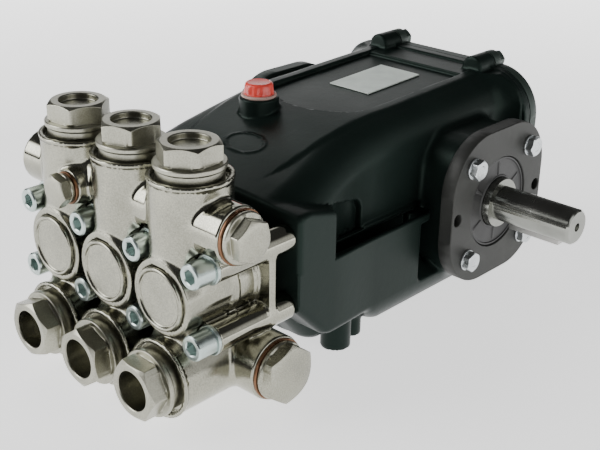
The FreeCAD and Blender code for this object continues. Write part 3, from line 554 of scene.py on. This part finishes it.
def shade(colour, factor):
    """A colour made darker or lighter."""
    return tuple(c * factor for c in colour)


def crankcase_paint(chosen):
    """Satin green-black paint over a cast surface."""
    paint = Recipe("green_black_paint", chosen.paint[:], 0.0, chosen.paint_roughness)
    cloud = paint.noise(14.0, 4.0)
    grain = paint.noise(900.0, 3.0, 0.6)
    skin = paint.noise(160.0, 3.0)
    paint.colour(paint.shades(cloud, 0.3, 0.7, chosen.paint[:], 0.82, 1.2))
    matt = chosen.paint_roughness
    paint.roughness(paint.sum(paint.span(cloud, 0.3, 0.7, matt - 0.05, matt + 0.05),
                              paint.span(grain, 0.3, 0.7, -0.03, 0.03)))
    paint.bump(paint.sum(grain, paint.sum(skin, 1.6, "MULTIPLY")), 0.055)
    paint.shader.inputs["Specular IOR Level"].default_value = 0.16
    paint.shader.inputs["Specular Tint"].default_value = (0.72, 1.0, 0.86, 1.0)
    return paint.material


def cover_paint(chosen):
    """Thin matt paint on a turned cover, with lighter streaks."""
    paint = Recipe("dark_cover_paint", chosen.cover[:], 0.35, chosen.cover_roughness)
    cloud = paint.noise(26.0, 4.0)
    grain = paint.noise(700.0, 3.0, 0.6)
    streak = paint.noise(60.0, 5.0, 0.6)
    tone = paint.shades(cloud, 0.35, 0.65, chosen.cover[:], 0.8, 1.25)
    paint.colour(paint.blend(paint.span(streak, 0.55, 0.75, 0.0, 0.5), tone, shade(chosen.cover[:], 1.7)))
    matt = chosen.cover_roughness
    paint.roughness(paint.span(cloud, 0.3, 0.7, matt - 0.06, matt + 0.08))
    paint.bump(paint.sum(grain, streak), 0.05)
    return paint.material


def nickel(name, chosen, roughness, grain_depth, polish=False):
    """Nickel plate, grained where it was blasted and smooth where it was turned."""
    plate = Recipe(name, chosen.nickel[:], 1.0, roughness)
    cloud = plate.noise(30.0, 4.0)
    grain = plate.noise(2100.0, 2.0, 0.6)
    mark = plate.noise(85.0, 6.0, 0.65)
    fleck = plate.noise(1100.0, 2.0, 0.6)
    tone = plate.shades(plate.sum(cloud, fleck), 0.8, 1.2, chosen.nickel[:], 0.82, 1.16)
    plate.colour(plate.blend(plate.span(mark, 0.60, 0.80, 0.0, 0.35), tone, shade(chosen.nickel[:], 0.66)))
    base = plate.sum(plate.span(cloud, 0.3, 0.7, -0.04, 0.05), plate.span(mark, 0.5, 0.75, 0.0, 0.07))
    if polish:
        smooth = plate.tree.nodes.new("ShaderNodeAttribute")
        smooth.attribute_name = "polish"
        level = plate.span(smooth.outputs["Fac"], 0.0, 1.0, roughness, chosen.polish_roughness)
        plate.roughness(plate.sum(base, level))
        depth = plate.span(smooth.outputs["Fac"], 0.0, 1.0, 1.0, 0.12)
        grain = plate.sum(grain, depth, "MULTIPLY")
    else:
        plate.roughness(plate.sum(base, roughness))
    plate.bump(plate.sum(grain, plate.sum(mark, 0.4, "MULTIPLY")), grain_depth)
    return plate.material


def brushed(name, colour, roughness, stretch, depth=0.012, metallic=1.0):
    """Metal with fine turning or brushing marks."""
    metal = Recipe(name, colour, metallic, roughness)
    lines = metal.noise(120.0, 4.0, 0.7, stretch)
    cloud = metal.noise(60.0, 4.0)
    metal.colour(metal.shades(cloud, 0.35, 0.65, colour, 0.88, 1.06))
    metal.roughness(metal.sum(metal.span(lines, 0.3, 0.7, -0.06, 0.08),
                              metal.span(cloud, 0.3, 0.7, roughness - 0.03, roughness + 0.05)))
    metal.bump(lines, depth)
    return metal.material


def moulded(name, colour, roughness, depth=0.02):
    """Moulded rubber, plastic or fibre."""
    mould = Recipe(name, colour, 0.0, roughness)
    cloud = mould.noise(90.0, 4.0)
    grain = mould.noise(1500.0, 2.0)
    mould.colour(mould.shades(cloud, 0.35, 0.65, colour, 0.85, 1.12))
    mould.roughness(mould.span(cloud, 0.3, 0.7, roughness - 0.05, roughness + 0.06))
    mould.bump(mould.sum(grain, cloud), depth)
    return mould.material


# Settings

class PumpCastingLook(bpy.types.PropertyGroup):
    paint: bpy.props.FloatVectorProperty(
        name="Crankcase paint", description="Colour of the crankcase's paint", subtype="COLOR",
        default=(0.0085, 0.0140, 0.0122), min=0.0, max=1.0)
    paint_roughness: bpy.props.FloatProperty(
        name="Paint roughness", description="How matt the crankcase's paint is", subtype="FACTOR",
        default=0.36, min=0.0, max=1.0)
    cover: bpy.props.FloatVectorProperty(
        name="Cover paint", description="Colour of the driven bearing cover", subtype="COLOR",
        default=(0.036, 0.037, 0.034), min=0.0, max=1.0)
    cover_roughness: bpy.props.FloatProperty(
        name="Cover roughness", description="How matt the bearing cover is", subtype="FACTOR",
        default=0.50, min=0.0, max=1.0)
    case_step: bpy.props.FloatProperty(
        name="Crankcase mesh", description="Width of a face of the crankcase's mesh, in millimetres",
        default=1.75, min=1.0, max=6.0)


class PumpNickelLook(bpy.types.PropertyGroup):
    nickel: bpy.props.FloatVectorProperty(
        name="Nickel", description="Colour of the nickel plate", subtype="COLOR",
        default=(0.35, 0.345, 0.285), min=0.0, max=1.0)
    blast_roughness: bpy.props.FloatProperty(
        name="Blasted roughness", description="How matt the blasted faces are", subtype="FACTOR",
        default=0.21, min=0.0, max=1.0)
    polish_roughness: bpy.props.FloatProperty(
        name="Smooth roughness", description="How matt the smooth bosses are", subtype="FACTOR",
        default=0.07, min=0.0, max=1.0)
    grain: bpy.props.FloatProperty(
        name="Grain", description="Depth of the blasted grain, in millimetres",
        default=0.03, min=0.0, max=0.5)
    head_step: bpy.props.FloatProperty(
        name="Head mesh", description="Width of a face of the pump head's mesh, in millimetres",
        default=1.45, min=0.8, max=5.0)


class PumpTrimLook(bpy.types.PropertyGroup):
    zinc: bpy.props.FloatVectorProperty(
        name="Zinc", description="Colour of the head screws", subtype="COLOR",
        default=(0.52, 0.60, 0.58), min=0.0, max=1.0)
    cap: bpy.props.FloatVectorProperty(
        name="Filler cap", description="Colour of the oil filler cap", subtype="COLOR",
        default=(0.92, 0.075, 0.055), min=0.0, max=1.0)
    edge: bpy.props.FloatProperty(
        name="Edge rounding", description="Rounding of machined edges, in millimetres",
        default=0.35, min=0.0, max=2.0)
    ribs: bpy.props.IntProperty(
        name="Cap ribs", description="Ribs round the oil filler cap", default=12, min=4, max=60)


class PumpStageLook(bpy.types.PropertyGroup):
    floor: bpy.props.FloatVectorProperty(
        name="Floor", description="Colour of the floor", subtype="COLOR",
        default=(0.9, 0.9, 0.9), min=0.0, max=1.0)
    floor_glow: bpy.props.FloatProperty(
        name="Floor glow", description="Light that the floor gives by itself", default=1.3, min=0.0)
    power: bpy.props.FloatProperty(
        name="Studio light", description="Strength of all lights of the studio", default=1.0, min=0.0)


def look(kind):
    """The scene's chosen settings of one kind."""
    return getattr(bpy.context.scene, "pump_" + kind)


# Pieces

class PUMP_OT_crankcase(bpy.types.Operator):
    """Build the crankcase casting in its paint"""
    bl_idname = "pump.crankcase"
    bl_label = "Crankcase"

    def execute(self, context):
        chosen = look("casting")
        piece, _ = casting("crankcase_casting", crankcase_form, (-95, FRONT, SOLE), (95, REAR, 85),
                           chosen.case_step)
        dress(piece, "pump", crankcase_paint(chosen), ["crankcase"])
        return {"FINISHED"}


class PUMP_OT_head(bpy.types.Operator):
    """Build the pump head casting in nickel plate"""
    bl_idname = "pump.head"
    bl_label = "Pump head"

    def execute(self, context):
        chosen = look("nickel")
        piece, points = casting("pump_head_casting", pump_head_form, (-94, -270, -78), (94, FRONT, 73),
                                chosen.head_step)
        nearer = polished_form(*points.T) - blasted_form(*points.T)
        polish = piece.data.attributes.new("polish", "FLOAT", "POINT")
        polish.data.foreach_set("value", (1.0 - ease(nearer, -0.5, 0.9)).astype(np.float32))
        material = nickel("nickel_casting", chosen, chosen.blast_roughness, chosen.grain, polish=True)
        dress(piece, "pump", material, ["pump_head"])
        return {"FINISHED"}


# Profiles: radius and height of each ring, in millimetres
CAP_COLLAR = ((18.0, -4.0), (20.2, -4.0), (20.2, 4.0), (20.5, 4.5), (21.3, 4.7), (21.7, 5.2),
              (21.7, 7.3), (21.2, 8.0), (18.4, 8.1))
PLUNGER_PLUG = ((17.0, -6.0), (19.0, -6.0), (20.0, 0.0), (20.0, 1.3), (19.6, 2.2), (18.7, 2.6),
                (17.8, 2.3), (17.1, 1.3), (16.7, 1.0), (16.2, 1.35), (8.0, 1.5), (0.6, 1.6))


class PUMP_OT_valve_caps(bpy.types.Operator):
    """Build the discharge and suction valve caps and the plunger plugs"""
    bl_idname = "pump.valve_caps"
    bl_label = "Valve caps and plunger plugs"

    def execute(self, context):
        chosen = look("nickel")
        edge = look("trim").edge
        hex_nickel = nickel("nickel_hexagon", chosen, 0.30, chosen.grain)
        face_nickel = nickel("nickel_turned_face", chosen, 0.22, chosen.grain * 0.3)
        flats, corner, high = 34.6, 16.7, 20.0
        for index, column in enumerate(COLUMNS, start=1):
            rows = (("discharge", "z", (column, COLUMN_Y, COLUMN_TOP), DISCHARGE_TURNS, 12.0, 16.0),
                    ("suction", "-y", (column, HOUSING_FRONT, HOUSING_Z), SUCTION_TURNS, 12.6, -2.5))
            for kind, axis, place, turns, mouth, low in rows:
                turn = math.radians(-turns[index - 1])
                side = lambda a: hexagon_radius(a, flats, turn)
                top = lambda a: high - np.maximum(side(a) - corner, 0.0) * CHAMFER
                foot = lambda a: 8.3 + np.maximum(side(a) - corner - 0.6, 0.0) * 0.4
                bore = ((mouth + 0.7, high), (mouth, 19.4), (mouth, low + 0.5), (mouth - 0.5, low))
                rings = CAP_COLLAR + ((side, foot), (side, top), (corner, high)) + bore
                maker = bmesh.new()
                turned(maker, rings, place, axis, around=144)
                finish_piece(f"{kind}_cap_{index}_turned", maker, "pump", hex_nickel,
                             [f"{kind}_cap_{index}"], edge)
            maker = bmesh.new()
            turned(maker, PLUNGER_PLUG, (column, BARREL_FRONT, 0.0), "-y")
            finish_piece(f"plunger_plug_{index}_turned", maker, "pump", face_nickel,
                         [f"plunger_plug_{index}"], edge)
        return {"FINISHED"}


class PUMP_OT_plugs(bpy.types.Operator):
    """Build the gallery and gauge plugs and their copper washers"""
    bl_idname = "pump.plugs"
    bl_label = "Plugs and washers"

    def execute(self, context):
        chosen = look("nickel")
        edge = look("trim").edge
        plug_nickel = nickel("nickel_plug", chosen, 0.27, chosen.grain)
        copper = brushed("copper_washer", (0.20, 0.105, 0.06), 0.30, (1, 1, 1))
        kinds = (("suction", 35.0, 20.0, 8.0, (SUCTION_END, SUCTION_Y, HOUSING_Z), "x", -113.0),
                 ("discharge", 24.0, 17.0, 7.5, (DISCHARGE_END, COLUMN_Y, DISCHARGE_Z), "x", -128.0),
                 ("gauge", 19.0, 10.5, 6.5, (GAUGE_X, GAUGE_FRONT, DISCHARGE_Z), "-y", -46.0))
        for kind, flats, face, high, place, axis, turn in kinds:
            corner = flats / 2 * 0.96
            turn = math.radians(turn)
            side = lambda a: hexagon_radius(a, flats, turn)
            top = lambda a: 5.0 + high - np.maximum(side(a) - corner, 0.0) * CHAMFER
            foot = lambda a: 5.0 + np.maximum(side(a) - corner, 0.0) * 0.35
            collar = ((face - 4.4, -3.0), (face - 3.2, -3.0), (face - 3.2, 2.0), (face - 1.4, 2.0),
                      (face - 1.0, 2.6), (face - 1.0, 4.2), (face - 1.8, 4.9))
            dome = ((corner, 5.0 + high), (corner * 0.6, 5.0 + high + 0.25), (0.5, 5.0 + high + 0.3))
            maker = bmesh.new()
            turned(maker, collar + ((side, foot), (side, top)) + dome, place, axis, around=144)
            finish_piece(f"{kind}_plug_turned", maker, "pump", plug_nickel,
                         [f"{kind}_plug"], edge)
            washer = ((face - 3.4, 0.0), (face - 0.35, 0.0), (face, 0.5), (face, 1.5),
                      (face - 0.35, 2.0), (face - 3.4, 2.0))
            maker = bmesh.new()
            turned(maker, washer, place, axis)
            finish_piece(f"{kind}_washer_ring", maker, "pump", copper, [f"{kind}_washer"], 0.1)
        return {"FINISHED"}


# Profiles: radius and height of each ring, in millimetres
HEAD_SCREW = ((5.0, -0.5), (9.3, 0.0), (9.5, 0.3), (9.5, 1.7), (9.2, 2.0), (7.7, 2.0), (8.0, 2.4),
              (8.0, 15.0), (7.1, 16.0), (5.0, 16.0))
BOLT_WASHER = ((4.0, -2.0), (4.2, 0.0), (7.3, 0.0), (7.5, 0.3), (7.5, 1.3), (7.2, 1.6), (6.4, 1.6))


class PUMP_OT_fasteners(bpy.types.Operator):
    """Build the head screws and the bolts of the covers"""
    bl_idname = "pump.fasteners"
    bl_label = "Screws and bolts"

    def execute(self, context):
        zinc = brushed("blue_zinc", look("trim").zinc[:], 0.30, (1, 1, 1), 0.02)
        white = brushed("bright_zinc", (0.66, 0.69, 0.70), 0.27, (1, 1, 1), 0.02)
        for index in range(1, 9):
            seat = middle(f"head_screw_{index}")
            place = (seat.x, SCREW_SEAT, seat.z)
            turn = 0.7 * index
            socket = lambda a: hexagon_radius(a, 8.0, turn)
            maker = bmesh.new()
            turned(maker, HEAD_SCREW + ((socket, 15.4), (socket, 10.0)), place, "-y", 72)
            finish_piece(f"head_screw_{index}_turned", maker, "pump", zinc,
                         [f"head_screw_{index}"], 0.2)
        groups = (("bearing_bolts_right", "x", BEARING_BOLT_SEAT, white, "bright_zinc"),
                  ("bearing_bolts_left", "-x", -BEARING_BOLT_SEAT, white, "bright_zinc"),
                  ("rear_cover_bolts", "y", REAR_BOLT_SEAT, case_paint(), "green_black_paint"))
        for name, axis, seat, material, slot in groups:
            maker = bmesh.new()
            if name == "rear_cover_bolts":
                places = [(side * UPPER_BOLT[0], seat, UPPER_BOLT[1]) for side in (-1, 1)]
            else:
                angles = [math.radians(a) for a in (45, 135, 225, 315)]
                places = [(seat, BEARING_BOLT_CIRCLE * math.cos(a), BEARING_BOLT_CIRCLE * math.sin(a))
                          for a in angles]
            for number, place in enumerate(places):
                bolt_head(maker, place, axis, 0.4 + 0.9 * number)
            finish_piece(name + "_heads", maker, "pump", material, [name], 0.2)
        return {"FINISHED"}


def bolt_head(maker, place, axis, turn):
    """A hexagon bolt head on its washer."""
    corner, high = 6.2, 6.9
    side = lambda a: hexagon_radius(a, 13.0, turn)
    top = lambda a: high - np.maximum(side(a) - corner, 0.0) * CHAMFER
    head = ((side, 1.9), (side, top), (corner, high), (3.4, high), (3.0, 6.6), (0.3, 6.6))
    turned(maker, BOLT_WASHER + head, place, axis, 72)


def case_paint():
    """The crankcase's paint, made once and shared."""
    return bpy.data.materials.get("green_black_paint") or crankcase_paint(look("casting"))


class PUMP_OT_covers(bpy.types.Operator):
    """Dress the bearing covers and the rear cover"""
    bl_idname = "pump.covers"
    bl_label = "Covers"

    def execute(self, context):
        coat_node("bearing_cover_right", cover_paint(look("casting")), 0.8)
        coat_node("bearing_cover_left", case_paint(), 0.8)
        coat_node("rear_cover", case_paint(), 0.8)
        return {"FINISHED"}


class PUMP_OT_shaft(bpy.types.Operator):
    """Dress the crankshaft and its key and build the lip seal"""
    bl_idname = "pump.shaft"
    bl_label = "Shaft, key and seal"

    def execute(self, context):
        ground = brushed("ground_steel", (0.30, 0.305, 0.28), 0.17, (40.0, 1.0, 1.0), 0.008)
        key_steel = brushed("key_steel", (0.50, 0.49, 0.47), 0.32, (1.0, 30.0, 1.0), 0.01)
        coat_node("crankshaft", ground, 0.3)
        coat_node("shaft_key", key_steel, 0.3)
        rubber = moulded("seal_rubber", (0.018, 0.018, 0.018), 0.42, 0.03)
        ribs = lambda a: 5.9 + 0.7 * (np.abs((a * 3 / math.pi + 0.5) % 1.0 - 0.5) < 0.03)
        rim = ((31.0, 0.0), (33.0, 0.6), (33.0, 6.4), (32.6, 7.0), (31.4, 7.0), (31.0, 6.2), (30.2, 5.9))
        lip = ((19.8, 6.0), (19.0, 6.6), (18.3, 6.6), (17.75, 5.6), (17.75, 1.0))
        maker = bmesh.new()
        turned(maker, rim + ((28.6, ribs), (20.6, ribs)) + lip, (SEAL_SEAT, 0.0, 0.0), "x", 240)
        finish_piece("shaft_seal_ring", maker, "pump", rubber, ["shaft_seal"], 0.15)
        return {"FINISHED"}


class PUMP_OT_filler(bpy.types.Operator):
    """Build the ribbed oil filler cap on its ring and dress the label plate"""
    bl_idname = "pump.filler"
    bl_label = "Filler cap and label plate"

    def execute(self, context):
        trim = look("trim")
        ribs = trim.ribs
        grip = lambda r: (lambda a: r + 0.22 * np.cos(a * ribs))
        foot = ((7.0, 0.4), (9.6, 2.0), (10.5, 2.0), (10.6, 2.5))
        crown = ((9.5, 8.8), (8.8, 9.6), (7.9, 10.0), (7.1, 9.8), (0.4, 9.6))
        maker = bmesh.new()
        turned(maker, foot + ((grip(10.3), 3.0), (grip(9.9), 7.6)) + crown, FILLER, "z", 192)
        red = moulded("red_plastic", trim.cap[:], 0.28, 0.02)
        red.node_tree.nodes["Principled BSDF"].inputs["Coat Weight"].default_value = 0.25
        finish_piece("oil_filler_cap_ribbed", maker, "pump", red, ["oil_filler_cap"], 0.3)
        ring = ((7.4, 0.0), (11.8, 0.0), (12.2, 0.5), (12.2, 1.5), (11.8, 2.0), (7.4, 2.0))
        maker = bmesh.new()
        turned(maker, ring, FILLER, "z")
        finish_piece("filler_ring_round", maker, "pump",
                     moulded("pink_fibre", (0.62, 0.42, 0.36), 0.5), ["filler_ring"], 0.1)
        bare = brushed("bare_aluminium", (0.86, 0.95, 0.88), 0.42, (1.0, 24.0, 1.0), 0.01, 0.1)
        coat_node("label_plate", bare, 0.15)
        return {"FINISHED"}


class PUMP_OT_guides(bpy.types.Operator):
    """Dress the plunger guides between head and crankcase"""
    bl_idname = "pump.guides"
    bl_label = "Plunger guides"

    def execute(self, context):
        steel = brushed("dark_steel", (0.12, 0.12, 0.115), 0.35, (1.0, 30.0, 1.0))
        for index in range(1, 4):
            coat_node(f"plunger_guide_{index}", steel)
        return {"FINISHED"}


# Stage

# Each soft light of the room: azimuth, height, full and outer half angle in degrees, and brightness
STUDIO = (
    (-131.0, 25.0, 18.0, 25.0, 5.5),
    (155.0, 38.0, 5.0, 13.0, 2.2),
    (135.0, 14.0, 8.0, 24.0, 1.1),
    (5.0, 16.0, 10.0, 32.0, 1.8),
    (48.0, 8.0, 6.0, 26.0, 0.7),
    (0.0, 90.0, 179.0, 180.0, 0.06),
)


def lay_floor(chosen):
    """A wide pale floor that glows by itself, with painted shade: its glow is dimmer near the pump and
    brighter far from it.
    """
    reach, level = FLOOR_REACH, FLOOR_LEVEL
    corners = [(-reach, -reach, level), (reach, -reach, level),
               (reach, reach, level), (-reach, reach, level)]
    mesh = bpy.data.meshes.new("floor")
    mesh.from_pydata(corners, [], [(0, 1, 2, 3)])
    floor = bpy.data.objects.new("floor", mesh)
    bpy.context.scene.collection.objects.link(floor)
    paper = Recipe("floor_paper", chosen.floor[:], 0.0, 0.6)
    paper.roughness(paper.span(paper.noise(3.0), 0.3, 0.7, 0.55, 0.65))
    paper.shader.inputs["Emission Color"].default_value = (1.0, 1.0, 1.0, 1.0)
    # Painted light and shade: the floor's own glow, weaker near the pump and stronger far away
    far = paper.distance((0.0, -0.1, level))
    glow = paper.span(far, 0.45, 1.2, chosen.floor_glow, 1.7 * chosen.floor_glow)
    paper.link(glow, paper.shader.inputs["Emission Strength"])
    mesh.materials.append(paper.material)


def light_room(power):
    """Soft lights all round: the room is bright where a light is and dark between."""
    world = bpy.data.worlds.new("studio")
    bpy.context.scene.world = world
    world.use_nodes = True
    tree = world.node_tree
    way = tree.nodes.new("ShaderNodeTexCoord").outputs["Generated"]
    total = None
    for azimuth, height, inner, outer, tone in STUDIO:
        azimuth, height = math.radians(azimuth), math.radians(height)
        level = math.cos(height)
        facing = tree.nodes.new("ShaderNodeVectorMath")
        facing.operation = "DOT_PRODUCT"
        facing.inputs[1].default_value = (level * math.cos(azimuth), level * math.sin(azimuth),
                                          math.sin(height))
        patch = tree.nodes.new("ShaderNodeMapRange")
        patch.interpolation_type = "SMOOTHSTEP"
        ends = {"From Min": math.cos(math.radians(outer)), "From Max": math.cos(math.radians(inner)),
                "To Min": 0.0, "To Max": tone * power}
        for key, value in ends.items():
            patch.inputs[key].default_value = value
        tree.links.new(way, facing.inputs[0])
        tree.links.new(facing.outputs["Value"], patch.inputs["Value"])
        light = patch.outputs["Result"]
        if total is not None:
            both = tree.nodes.new("ShaderNodeMath")
            both.operation = "ADD"
            tree.links.new(total, both.inputs[0])
            tree.links.new(light, both.inputs[1])
            light = both.outputs[0]
        total = light
    tree.links.new(total, tree.nodes["Background"].inputs["Strength"])
    tree.nodes["Background"].inputs["Color"].default_value = (1.0, 1.0, 1.0, 1.0)


def place_camera():
    """A camera at the photograph's viewing angle."""
    lens = bpy.data.cameras.new("camera")
    lens.sensor_width = SENSOR
    lens.lens = LENS
    camera = bpy.data.objects.new("camera", lens)
    bpy.context.scene.collection.objects.link(camera)
    yaw, pitch, roll = (math.radians(a) for a in CAMERA_TURNS)
    ahead = Vector((-math.sin(yaw) * math.cos(pitch), math.cos(yaw) * math.cos(pitch), -math.sin(pitch)))
    right = Vector((math.cos(yaw), math.sin(yaw), 0.0))
    up = right.cross(ahead)
    across = right * math.cos(roll) + up * math.sin(roll)
    above = up * math.cos(roll) - right * math.sin(roll)
    turn = Matrix((across, above, -ahead)).transposed().to_4x4()
    camera.matrix_world = Matrix.Translation(CAMERA_PLACE) @ turn
    bpy.context.scene.camera = camera


class PUMP_OT_stage(bpy.types.Operator):
    """Set the pale floor, the soft lights and the camera"""
    bl_idname = "pump.stage"
    bl_label = "Stage"

    def execute(self, context):
        chosen = look("stage")
        lay_floor(chosen)
        light_room(chosen.power)
        place_camera()
        return {"FINISHED"}


class PUMP_PT_panel(bpy.types.Panel):
    bl_label = "Plunger pump"
    bl_idname = "PUMP_PT_panel"
    bl_space_type = "VIEW_3D"
    bl_region_type = "UI"
    bl_category = "Pump"

    def draw(self, context):
        for operator in OPERATORS:
            self.layout.operator(operator.bl_idname)
        for kind in LOOKS:
            box = self.layout.box()
            group = look(kind)
            for name in group.__annotations__:
                box.prop(group, name)


LOOKS = {"casting": PumpCastingLook, "nickel": PumpNickelLook, "trim": PumpTrimLook, "stage": PumpStageLook}
OPERATORS = (PUMP_OT_crankcase, PUMP_OT_head, PUMP_OT_valve_caps, PUMP_OT_plugs, PUMP_OT_fasteners,
             PUMP_OT_covers, PUMP_OT_shaft, PUMP_OT_filler, PUMP_OT_guides, PUMP_OT_stage)


def register():
    for group in LOOKS.values():
        bpy.utils.register_class(group)
    for kind, group in LOOKS.items():
        setattr(bpy.types.Scene, "pump_" + kind, bpy.props.PointerProperty(type=group))
    for part in OPERATORS + (PUMP_PT_panel,):
        bpy.utils.register_class(part)


def unregister():
    for part in reversed(OPERATORS + (PUMP_PT_panel,)):
        bpy.utils.unregister_class(part)
    for kind in LOOKS:
        delattr(bpy.types.Scene, "pump_" + kind)
    for group in reversed(tuple(LOOKS.values())):
        bpy.utils.unregister_class(group)


def main():
    register()
    for operator in OPERATORS:
        family, name = operator.bl_idname.split(".")
        getattr(getattr(bpy.ops, family), name)()


if __name__ == "__main__":
    main()
